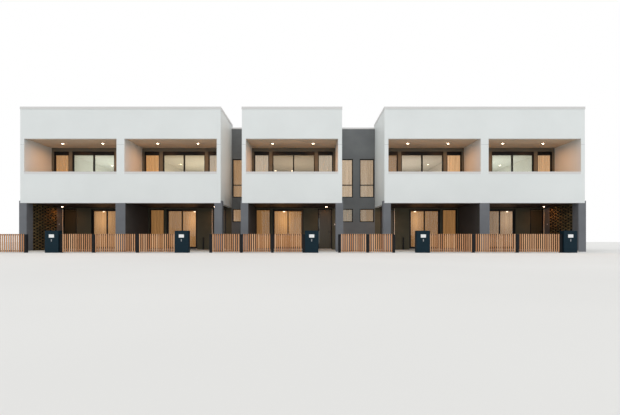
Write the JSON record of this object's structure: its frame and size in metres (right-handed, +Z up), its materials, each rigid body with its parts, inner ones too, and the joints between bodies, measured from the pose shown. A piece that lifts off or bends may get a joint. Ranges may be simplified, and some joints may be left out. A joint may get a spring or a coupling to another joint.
{
  "type": "terraced house row",
  "caption": "Row of two-storey terraced houses: white balcony boxes over open porches on a grey body, with a batten street fence and letterbox pillars.",
  "frame": {"origin": "middle of the row's plan, from letterbox fronts to the rear coping, at ground level", "axes": "+X along the row to the right seen from the street, +Y from the street to the back, +Z up"},
  "size_m": [29.45, 13.38, 7.53],
  "materials": {
    "concrete": "trowelled concrete",
    "grey_render": "painted render, matt",
    "dark_render": "painted render, matt",
    "dark_brick": "painted brick, matt",
    "white_cladding": "painted fibre-cement sheet, satin",
    "pale_coping": "folded sheet, satin paint",
    "black_frame": "powder coat, satin",
    "window_glass": "clear float glass",
    "inner_plaster": "painted plasterboard",
    "soffit_board": "dark stained lining boards",
    "curtain_cloth": "sheer linen weave",
    "white_trim": "powder coat, satin",
    "roof_sheet": "roll-formed sheet",
    "black_steel": "powder coat, satin",
    "cedar_batten": "oiled timber",
    "navy_steel": "textured powder coat",
    "door_paint": "satin paint"
  },
  "bodies": {
    "row": {"ground_slab": "concrete", "porch_floors": "concrete", "opening_sills": "concrete", "porch_piers": "grey_render", "wing_walls": "grey_render", "brick_screen_left": "dark_brick", "brick_screen_right": "dark_brick", "ground_front_walls": "dark_render", "ground_lintels": "dark_render", "link_wall_left": "dark_render", "link_wall_right": "dark_render", "link_window_frames": "black_frame", "link_glass": "window_glass", "party_walls": "inner_plaster", "end_walls": "dark_render", "rear_wall": "dark_render", "rear_window_frames": "black_frame", "rear_glass": "window_glass", "first_floor": "inner_plaster", "upper_ceiling": "inner_plaster", "box_walls": "white_cladding", "balcony_floors": "concrete", "porch_soffits": "soffit_board", "balustrades": "white_cladding", "balustrade_copings": "pale_coping", "box_fascias": "white_cladding", "balcony_ceilings": "soffit_board", "box_back_parapets": "white_cladding", "roof_decks": "roof_sheet", "box_copings": "pale_coping", "parapet_copings": "pale_coping", "balcony_back_walls": "dark_render", "balcony_frames": "black_frame", "balcony_glass": "window_glass", "ground_frames": "black_frame", "ground_glass": "window_glass", "curtain_tracks": "white_trim", "curtains": "curtain_cloth", "slider_tracks": "black_frame", "door_jambs": "black_frame", "door_heads": "black_frame", "fence_posts": "black_steel", "fence_rails": "black_steel", "fence_panels": "cedar_batten", "letterbox_pillars": "navy_steel", "wall_posts": "black_steel"},
    "entry_door_1": {"entry_door_1": "door_paint"},
    "sliding_door_1": {"sliding_door_1": "black_frame"},
    "entry_door_2": {"entry_door_2": "door_paint"},
    "sliding_door_2": {"sliding_door_2": "black_frame"},
    "entry_door_3": {"entry_door_3": "door_paint"},
    "sliding_door_3": {"sliding_door_3": "black_frame"},
    "entry_door_4": {"entry_door_4": "door_paint"},
    "sliding_door_4": {"sliding_door_4": "black_frame"},
    "entry_door_5": {"entry_door_5": "door_paint"},
    "sliding_door_5": {"sliding_door_5": "black_frame"}
  },
  "joints": [
    {"name": "entry_hinge_1", "type": "hinge", "parent": "row", "child": "entry_door_1", "pos_m": [-13.534, -1.559, 1.25], "axis": [0, 0, -1], "range_deg": [0, 90]},
    {"name": "slider_1", "type": "slide", "parent": "row", "child": "sliding_door_1", "axis": [1, 0, 0], "range_m": [0, 0.77]},
    {"name": "entry_hinge_2", "type": "hinge", "parent": "row", "child": "entry_door_2", "pos_m": [-5.366, -1.559, 1.25], "axis": [0, 0, 1], "range_deg": [0, 90]},
    {"name": "slider_2", "type": "slide", "parent": "row", "child": "sliding_door_2", "axis": [-1, 0, 0], "range_m": [0, 0.77]},
    {"name": "entry_hinge_3", "type": "hinge", "parent": "row", "child": "entry_door_3", "pos_m": [0.934, -1.559, 1.25], "axis": [0, 0, 1], "range_deg": [0, 90]},
    {"name": "slider_3", "type": "slide", "parent": "row", "child": "sliding_door_3", "axis": [-1, 0, 0], "range_m": [0, 0.77]},
    {"name": "entry_hinge_4", "type": "hinge", "parent": "row", "child": "entry_door_4", "pos_m": [5.366, -1.559, 1.25], "axis": [0, 0, -1], "range_deg": [0, 90]},
    {"name": "slider_4", "type": "slide", "parent": "row", "child": "sliding_door_4", "axis": [1, 0, 0], "range_m": [0, 0.77]},
    {"name": "entry_hinge_5", "type": "hinge", "parent": "row", "child": "entry_door_5", "pos_m": [13.534, -1.559, 1.25], "axis": [0, 0, 1], "range_deg": [0, 90]},
    {"name": "slider_5", "type": "slide", "parent": "row", "child": "sliding_door_5", "axis": [-1, 0, 0], "range_m": [0, 0.77]}
  ]
}
